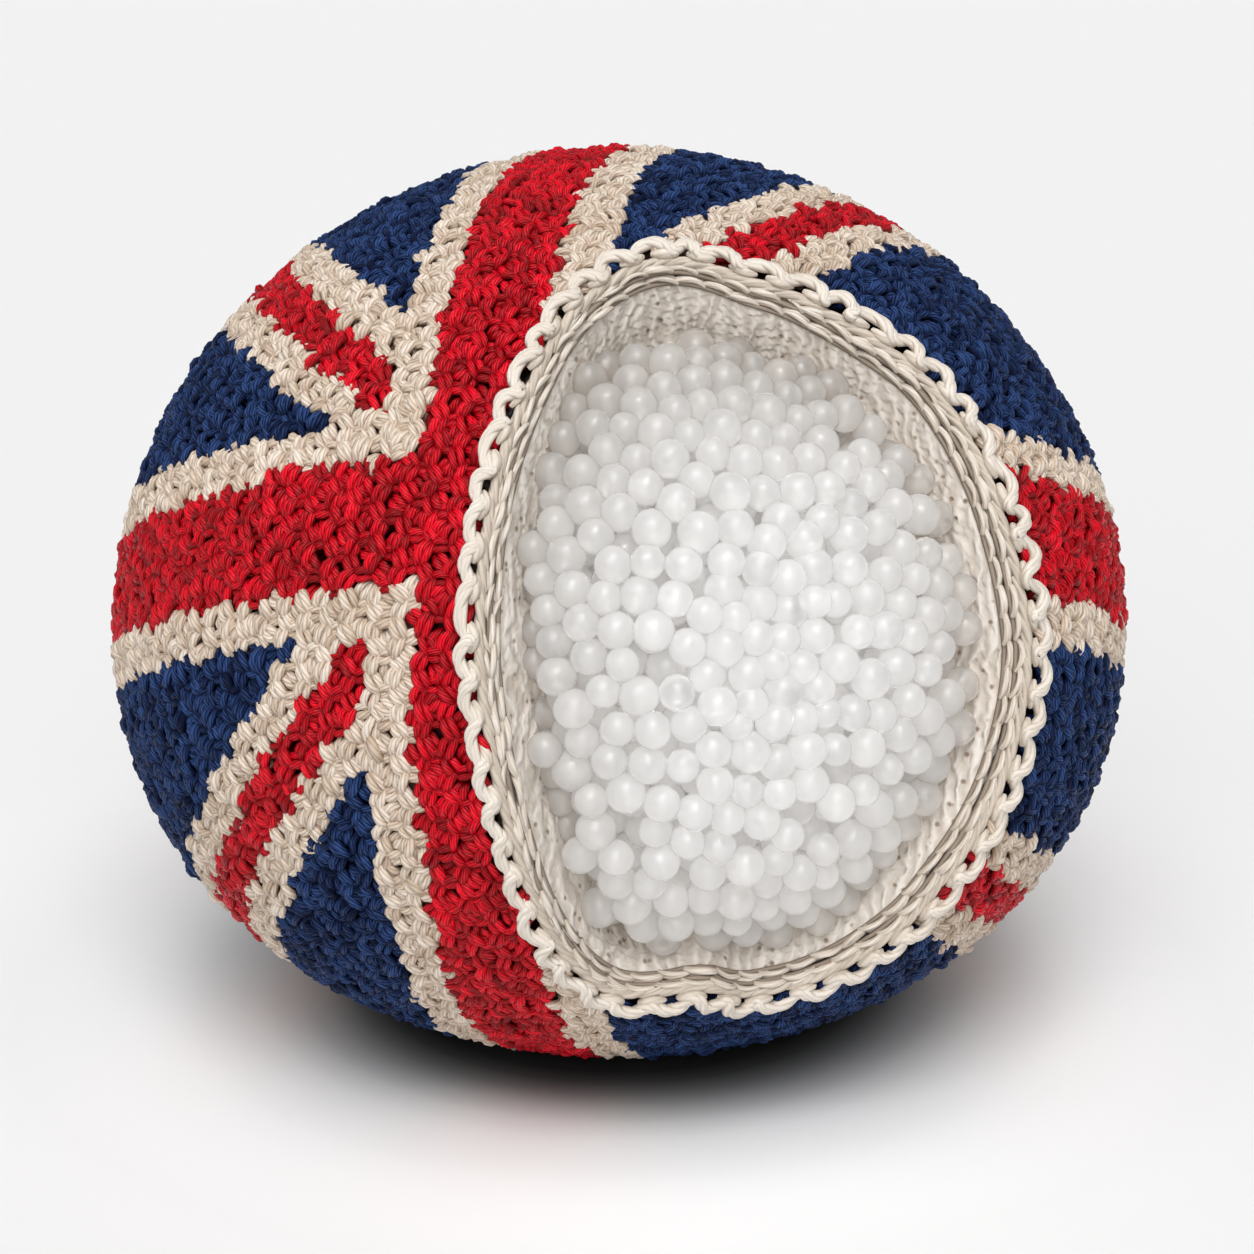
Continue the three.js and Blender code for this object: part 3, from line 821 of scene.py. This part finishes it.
def make_hem(material):
    """The turned hem, which slopes down under the trims and puckers toward the fill."""
    parts = Parts()
    rows, columns = 840, 64
    bearing = np.arange(rows)[:, None] / rows * FULL_TURN
    profile = np.array(HEM_PROFILE)
    runs = lengths_along(profile)
    runs /= runs[-1]
    spread = np.linspace(0, 1, columns)
    loose = np.clip((spread - 0.42) / 0.4, 0, 1)
    pucker = (0.05 * waves(bearing, 21, 18, 60, 14) + 0.03 * waves(bearing, 22, 50, 120, 14)
              + 0.26 * waves(bearing, 23, 3, 14, 8))
    lift = 0.05 * waves(bearing, 24, 20, 70, 14)
    fine = np.zeros((rows, columns))
    own = np.random.default_rng(25)
    for _ in range(24):
        fine += np.sin(bearing * own.integers(30, 190) + spread * own.uniform(-110, 110)
                       + own.random() * PHASES)
    fine *= np.clip((spread - 0.1) / 0.2, 0.3, 1)
    offsets = np.interp(spread, runs, profile[:, 0]) + pucker * loose + HEM_GRAIN * fine
    depths = np.interp(spread, runs, profile[:, 1]) + lift * loose + HEM_GRAIN * fine
    points = rim_place(np.broadcast_to(bearing, (rows, columns)), offsets, depths)
    faces = grid_faces(rows, columns, True, False)[:, ::-1]
    around = np.arange(rows)[:, None] / rows * RIM_LENGTH
    strands = np.stack(np.broadcast_arrays(around, spread * HEM_WIDTH), axis=-1)
    parts.add(points, faces, strands.reshape(-1, 2)[faces], 1.0)
    return add_piece("hem_cloth", parts, material, ["window_hem"])


def make_lining(material):
    """The thin bag round the pellets, finely creased and open in the window."""
    parts = Parts()
    places, faces, strands = sphere(97, 144)
    faces = faces[window_measure(places[faces].mean(axis=1), LINING_OPENING) > 1]
    creases = ripples(places, 30, 14, 40, np.random.default_rng(31))
    points = on_surface(places, LINING_DEPTH + 0.012 * creases)
    parts.add(points, faces, strands[faces] * LINING_RADIUS, 1.0)
    return add_piece("lining", parts, material, ["lining_bag"])


# Pellets
PELLET_RADIUS = 1.0
PELLET_PITCH = 2.3
LOOSE_HALF = (5.6, 8.3)
LOOSE_DEPTH = 2.0
TOP_COUNT, DEEPER_COUNTS, LAYER_DEPTH = 236, (236, 220), 1.45
SETTLE_ROUNDS, SETTLE_SHARE, LOOSE_DRIFT = 260, 0.35, 0.5
# The bearing of the window's top, from which the heap has slumped
HEAP_TOP = 92
CORE_DEPTH, CORE_DEPTH_IN_WINDOW, CORE_OPENING = 3.6, 6.2, 1.8


def loose_places():
    """Where the loose pellets lie: rows of a hexagonal net inside an oval."""
    places = []
    row_pitch = PELLET_PITCH * math.sqrt(3) / 2
    rows = math.ceil(LOOSE_HALF[1] / row_pitch)
    columns = math.ceil(LOOSE_HALF[0] / PELLET_PITCH) + 1
    for row in range(-rows, rows + 1):
        for column in range(-columns, columns + 1):
            across = (column + abs(row) % 2 / 2) * PELLET_PITCH
            up = row * row_pitch
            if math.hypot(across / LOOSE_HALF[0], up / LOOSE_HALF[1]) <= 1:
                places.append((across, up))
    return np.array(places)


def settle(places, radii, anchors):
    """Pushes pellets apart until they hardly touch. Anchored ones stay near home."""
    home = places.copy()
    for _ in range(SETTLE_ROUNDS):
        gap = places[:, None] - places[None]
        apart = np.linalg.norm(gap, axis=-1) + 1e-9
        wanted = radii[:, None] + radii[None]
        push = np.clip(wanted - apart, 0, None)
        np.fill_diagonal(push, 0)
        moves = (gap / apart[..., None] * push[..., None]).sum(axis=1)
        places = places + SETTLE_SHARE * moves
        over = np.clip(rim_measure(places[:, 0], places[:, 1], BED_OFFSET), 1, None)
        places = places / over[:, None]
        drift = places[:anchors] - home[:anchors]
        far = np.maximum(np.linalg.norm(drift, axis=-1, keepdims=True), 1e-9)
        places[:anchors] = home[:anchors] + drift * np.minimum(1, LOOSE_DRIFT / far)
    return places


def scatter(count, own):
    spots = own.uniform(-1, 1, (count * 3, 2)) * (WINDOW_HALF_WIDTH, WINDOW_HALF_HEIGHT)
    return spots[rim_measure(spots[:, 0], spots[:, 1], BED_OFFSET) < 1][:count]


def pellet_radii(count, own):
    return np.clip(own.normal(PELLET_RADIUS, 0.06, count), 0.86, 1.12)


def dome_depth(places):
    """The heap is highest in the middle and has slumped away from the window's top."""
    measure = rim_measure(places[:, 0], places[:, 1], BED_OFFSET)
    rise = np.clip((measure - 0.35) / 0.65, 0, 1)
    from_top = np.degrees(np.arctan2(places[:, 1], places[:, 0])) - HEAP_TOP
    slump = 1.2 * np.exp(-((from_top / 26) ** 2)) * rise**2
    return LOOSE_DEPTH - 0.15 + 1.45 * rise**1.4 + slump


def painted_glow_of(places):
    """The painted light of places in the heap, which stands in for the light that reaches
    them: most in its middle, with painted shade at the hem and under the window's top."""
    measure = window_measure(places, BED_OFFSET)
    local = unit(places) @ WINDOW
    from_top = np.degrees(np.arctan2(local[..., 1], local[..., 0])) - HEAP_TOP
    shade = 0.62 * measure**2.2 + 0.42 * np.exp(-((from_top / 40) ** 2)) * measure**1.5
    return np.clip(1 - shade, 0, 1)


def balls(parts, centres, radii, rings, segments, own, share=1.0):
    """Round pellets, a little uneven, each with its own turn and its share of the painted
    light that stands in for the light that reaches it."""
    grid, faces, strands = sphere(rings + 1, segments)
    for centre, radius in zip(centres, radii):
        axes, _ = np.linalg.qr(own.normal(size=(3, 3)))
        if np.linalg.det(axes) < 0:
            axes[:, 0] = -axes[:, 0]
        squash = own.normal(1, 0.02, 3)
        points = (grid * squash) @ axes.T * radius + centre
        parts.add(points, faces, strands[faces], share * painted_glow_of(centre))


def make_pellets(material):
    own = np.random.default_rng(41)
    home = loose_places()
    loose = len(home)
    places = np.concatenate([home, scatter(TOP_COUNT - loose, own)])
    radii = pellet_radii(len(places), own)
    places = settle(places, radii, loose)
    depth = dome_depth(places) + own.normal(0, 0.16, len(places))
    centres = window_place(places[:, 0], places[:, 1], depth)
    for index in range(loose):
        number = f"{index + 1:02d}"
        parts = Parts()
        balls(parts, centres[index:index + 1], radii[index:index + 1], 18, 28, own)
        add_piece("loose_pellet_" + number, parts, material,
                  ["pellet_" + number])
    parts = Parts()
    balls(parts, centres[loose:], radii[loose:], 14, 24, own)
    add_piece("pellet_bed", parts, material, ["pellet_fill"])

    # Two deeper layers show between the top ones, painted darker as shade the deeper they
    # lie, and a grainy core below them fills the bag, painted darker still
    parts = Parts()
    for layer, count in enumerate(DEEPER_COUNTS, start=1):
        spots = scatter(count, own)
        radii = pellet_radii(count, own)
        spots = settle(spots, radii, 0)
        depth = dome_depth(spots) + layer * LAYER_DEPTH + own.normal(0, 0.15, count)
        balls(parts, window_place(spots[:, 0], spots[:, 1], depth), radii, 10, 16, own,
              share=1.0 - 0.2 * layer)
    places, faces, _ = sphere(129, 192)
    grains = ripples(places, 40, 60, 90, own)
    in_window = window_measure(places, CORE_OPENING) < 1
    sunk = np.where(in_window, CORE_DEPTH_IN_WINDOW, CORE_DEPTH)
    points = on_surface(places, sunk + 0.05 * grains)
    # The core gets half the painted light of the heap, as painted shade
    parts.add(points, faces, np.zeros((len(faces), 4, 2)), 0.5 * painted_glow_of(places))
    add_piece("pellet_core", parts, material, ["pellet_fill"])


# Materials
# The painted glow's strength where the heap is darkest and where it is brightest
PAINTED_PELLET_GLOW = (0.032, 0.10)


def fill(node, values):
    """Links the inputs of a node that come from another node, and sets the others."""
    for name, value in dict(values).items():
        if isinstance(value, bpy.types.NodeSocket):
            node.id_data.links.new(value, node.inputs[name])
        else:
            node.inputs[name].default_value = value


def add_node(tree, kind, values=(), **settings):
    node = tree.nodes.new("ShaderNode" + kind)
    for name, value in settings.items():
        setattr(node, name, value)
    fill(node, values)
    return node


def start_material(name):
    material = bpy.data.materials.new(name)
    material.use_nodes = True
    tree = material.node_tree
    tree.nodes.clear()
    shader = add_node(tree, "BsdfPrincipled")
    add_node(tree, "OutputMaterial", {"Surface": shader.outputs[0]})
    return material, tree, shader


def object_coordinates(tree):
    return add_node(tree, "TexCoord").outputs["Object"]


# Reads the tone attribute, with its painted shade and painted glow
def tone_and_painted_shading_of(tree):
    return add_node(tree, "Attribute", attribute_name="tone_and_painted_shading").outputs["Fac"]


def maths(tree, operation, *values):
    return add_node(tree, "Math", enumerate(values), operation=operation).outputs[0]


def noise(tree, vector, scale, detail, roughness=0.5):
    return add_node(tree, "TexNoise", {"Vector": vector, "Scale": scale, "Detail": detail,
                                       "Roughness": roughness}).outputs["Fac"]


def mix_colors(tree, factor, first, second):
    first, second = ((*color, 1) if isinstance(color, tuple) else color
                     for color in (first, second))
    return add_node(tree, "Mix", {0: factor, 6: first, 7: second},
                    data_type="RGBA").outputs[2]


def remap(tree, value, low, high, to_low=0, to_high=1):
    return add_node(tree, "MapRange", {
        "Value": value, "From Min": low, "From Max": high, "To Min": to_low,
        "To Max": to_high,
    }).outputs[0]


def shaded(tree, shade, value, low, high, to_low, to_high):
    """A shade, made darker or lighter where a value is low or high."""
    return maths(tree, "MULTIPLY", shade, remap(tree, value, low, high, to_low, to_high))


def bumped(tree, height, strength, distance):
    values = {"Height": height, "Strength": strength, "Distance": distance * MM}
    return add_node(tree, "Bump", values).outputs[0]


def yarn_material(name, dark, middle, light, plies, gloss, roughness=0.45, sheen=0.0,
                  groove=0.06, painted_groove_shade=0.55):
    """Plied yarn: its plies run along each strand, crests light and grooves painted dark as
    shade, and its dark colour shows where the painted shade is deepest.
    """
    material, tree, shader = start_material(name)
    strand = add_node(tree, "UVMap", uv_map="strand").outputs[0]
    split = add_node(tree, "SeparateXYZ", {0: strand}).outputs
    coordinates = object_coordinates(tree)
    drift = maths(tree, "MULTIPLY", noise(tree, coordinates, 900, 1), 0.05)
    around = maths(tree, "ADD", split["X"], drift)
    wave = maths(tree, "SINE", maths(tree, "MULTIPLY", around, math.pi * plies))
    ridge = maths(tree, "POWER", maths(tree, "ABSOLUTE", wave), 0.6)
    stretched = add_node(tree, "CombineXYZ", {
        "X": maths(tree, "MULTIPLY", split["X"], 34),
        "Y": maths(tree, "MULTIPLY", split["Y"], 2.2),
    }).outputs[0]
    fibre = noise(tree, stretched, 1.6, 3, 0.6)
    # Painted shade: the tone's painted shade, darker again in the grooves between plies
    shade = shaded(tree, tone_and_painted_shading_of(tree), ridge, 0, 1, painted_groove_shade, 1.0)
    shade = shaded(tree, shade, fibre, 0.3, 0.7, 0.86, 1.06)
    shade = shaded(tree, shade, noise(tree, coordinates, 420, 2), 0.3, 0.7, 0.93, 1.05)
    low = mix_colors(tree, remap(tree, shade, 0.1, 0.7), dark, middle)
    height = maths(tree, "ADD", ridge, maths(tree, "MULTIPLY", fibre, 0.45))
    fill(shader, {
        "Base Color": mix_colors(tree, remap(tree, shade, 0.7, 1.05), low, light),
        "Normal": bumped(tree, height, 0.8, groove), "Roughness": roughness,
        "Specular IOR Level": gloss, "Sheen Weight": sheen, "Sheen Roughness": 0.5,
    })
    return material


def cloth_material(name, dark, light):
    """Soft cloth of the hem and lining: fine swirls and pinholes, bumped and painted darker
    in their hollows as shade, and a faint grain.
    """
    material, tree, shader = start_material(name)
    coordinates = object_coordinates(tree)
    swirl = add_node(tree, "TexWave", {
        "Vector": coordinates, "Scale": 420, "Distortion": 9, "Detail": 2,
        "Detail Scale": 1.2,
    }).outputs["Fac"]
    cells = add_node(tree, "TexVoronoi", {"Vector": coordinates, "Scale": 1250})
    pinhole = remap(tree, cells.outputs["Distance"], 0.02, 0.22)
    grain = noise(tree, coordinates, 2600, 3, 0.6)
    # Painted shade in the pinholes and along the swirls' hollows
    shade = shaded(tree, pinhole, swirl, 0, 1, 0.75, 1.0)
    shade = shaded(tree, shade, noise(tree, coordinates, 300, 3), 0.3, 0.7, 0.85, 1.08)
    height = maths(tree, "ADD", swirl, maths(tree, "MULTIPLY", grain, 0.5))
    height = maths(tree, "ADD", height, pinhole)
    fill(shader, {
        "Base Color": mix_colors(tree, remap(tree, shade, 0.35, 1.0), dark, light),
        "Normal": bumped(tree, height, 0.9, 0.12), "Roughness": 0.7, "Sheen Weight": 0.2,
    })
    return material


def pellet_material(name):
    """Frosted, translucent plastic. A painted glow stands in for the light that the heap
    scatters inside itself, strongest in the heap's middle, and where the heap is shaded the
    colour and glow are painted warmer and darker."""
    material, tree, shader = start_material(name)
    cloud = noise(tree, object_coordinates(tree), 700, 2)
    tone_and_painted_shading = tone_and_painted_shading_of(tree)
    color = mix_colors(tree, remap(tree, cloud, 0.3, 0.7), (0.90, 0.89, 0.88),
                       (0.96, 0.955, 0.95))
    fill(shader, {
        "Base Color": mix_colors(tree, remap(tree, tone_and_painted_shading, 0, 0.6), (0.82, 0.785, 0.74),
                                 color),
        "Emission Color": mix_colors(tree, tone_and_painted_shading, (0.90, 0.84, 0.78), (1.0, 1.0, 1.0)),
        "Emission Strength": remap(tree, tone_and_painted_shading, 0, 1, *PAINTED_PELLET_GLOW),
        "Roughness": 0.22, "Transmission Weight": 0.75, "IOR": 1.25,
        "Coat Weight": 0.6, "Coat Roughness": 0.1, "Subsurface Weight": 1.0,
        "Subsurface Radius": (1.0, 0.99, 0.97), "Subsurface Scale": 0.002,
    })
    return material


# Each yarn's dark colour shows in its painted shade, in grooves and at the strands' ends
RED = yarn_material("red_yarn", (0.004, 0.0, 0.0), (0.25, 0.0004, 0.003),
                    (0.86, 0.003, 0.020), gloss=0.2, roughness=0.34, plies=8, painted_groove_shade=0.6)
NAVY = yarn_material("navy_yarn", (0.0001, 0.0002, 0.0008), (0.0030, 0.0078, 0.032),
                     (0.032, 0.073, 0.22), gloss=0.08, plies=8)
CREAM = yarn_material("cream_yarn", (0.11, 0.060, 0.035), (0.55, 0.425, 0.32),
                      (0.81, 0.71, 0.61), plies=6, roughness=0.5, sheen=0.03, painted_groove_shade=0.66,
                      gloss=0.25)
EDGING = yarn_material("edging_yarn", (0.17, 0.12, 0.085), (0.64, 0.56, 0.47),
                       (0.83, 0.78, 0.72), plies=4, roughness=0.40, sheen=0.03,
                       groove=0.03, painted_groove_shade=0.70, gloss=0.3)
CLOTH = cloth_material("lining_cloth", (0.30, 0.22, 0.15), (0.78, 0.72, 0.65))
PELLET = pellet_material("frosted_pellet")

make_crochet({"red": RED, "navy": NAVY, "cream": CREAM})
make_edging(EDGING)
make_chain("outer_chain", OUTER_CHAIN, "outer_chain_row", 51, EDGING)
make_chain("inner_chain", INNER_CHAIN, "inner_chain_row", 52, EDGING)
hem = make_hem(CLOTH)
lining = make_lining(CLOTH)
make_pellets(PELLET)


# Light and floor
# The floor reaches this many metres each way. Its tone by the distance from the bag's
# middle: a painted shadow darkens it where the bag rests, and painted light makes it palest
# in a ring round it.
FLOOR_REACH = 3.0
FLOOR_TONE = 0.82
PAINTED_FLOOR_SHADOW = (
    (0, 0.02), (13, 0.06), (14.5, 0.14), (16, 0.33), (18, 0.72), (20, 0.97), (22, 1.07),
    (24, 1.10), (26, 1.13), (28, 1.17), (30, 1.16), (33, 1.12), (37, 1.06), (42, 1.04),
    (60, 1.01), (100, 1.0),
)
WORLD_STRENGTH = 0.224
# Name, strength, spread, turn and lift
SUNS = (
    ("top", 1.14, 60, 0, 78),
    ("front", 1.58, 50, -6, 36),
    ("spark", 0.80, 28, 4, 56),
)


def make_floor():
    mesh = bpy.data.meshes.new("floor")
    corners = [(x * FLOOR_REACH, y * FLOOR_REACH, 0)
               for x, y in ((-1, -1), (1, -1), (1, 1), (-1, 1))]
    mesh.from_pydata(corners, [], [(0, 1, 2, 3)])
    floor = add_object("floor", mesh)
    material, tree, shader = start_material("pale_floor_with_painted_shadow")
    length = add_node(tree, "VectorMath", {0: object_coordinates(tree)},
                      operation="LENGTH").outputs["Value"]
    painted_shadow_reach = PAINTED_FLOOR_SHADOW[-1][0]
    share = maths(tree, "MULTIPLY", length, 1 / (painted_shadow_reach * MM))
    # The ramp paints the shadow under the bag and the painted light of the ring round it
    ramp = add_node(tree, "ValToRGB", {"Fac": share})
    stops = ramp.color_ramp.elements
    while len(stops) < len(PAINTED_FLOOR_SHADOW):
        stops.new(0.5)
    for stop, (radius, tone_and_painted_shading) in zip(stops, PAINTED_FLOOR_SHADOW):
        stop.position = radius / painted_shadow_reach
        stop.color = (*[FLOOR_TONE * tone_and_painted_shading] * 3, 1)
    fill(shader, {"Base Color": ramp.outputs["Color"], "Roughness": 0.9,
                  "Specular IOR Level": 0.0})
    mesh.materials.append(material)


def add_sun(name, strength, spread, turn, lift):
    data = bpy.data.lights.new(name, "SUN")
    data.energy = strength
    data.angle = math.radians(spread)
    lamp = add_object(name, data)
    turn, lift = math.radians(turn), math.radians(lift)
    toward = Vector((math.sin(turn) * math.cos(lift), -math.cos(turn) * math.cos(lift),
                     math.sin(lift)))
    lamp.rotation_mode = "QUATERNION"
    lamp.rotation_quaternion = toward.to_track_quat("Z", "Y")


def make_light():
    world = bpy.data.worlds.new("studio")
    world.use_nodes = True
    fill(world.node_tree.nodes["Background"],
         {"Color": (1, 1, 1, 1), "Strength": WORLD_STRENGTH})
    bpy.context.scene.world = world
    for sun in SUNS:
        add_sun(*sun)


make_floor()
make_light()
bpy.context.scene.view_settings.view_transform = "Standard"
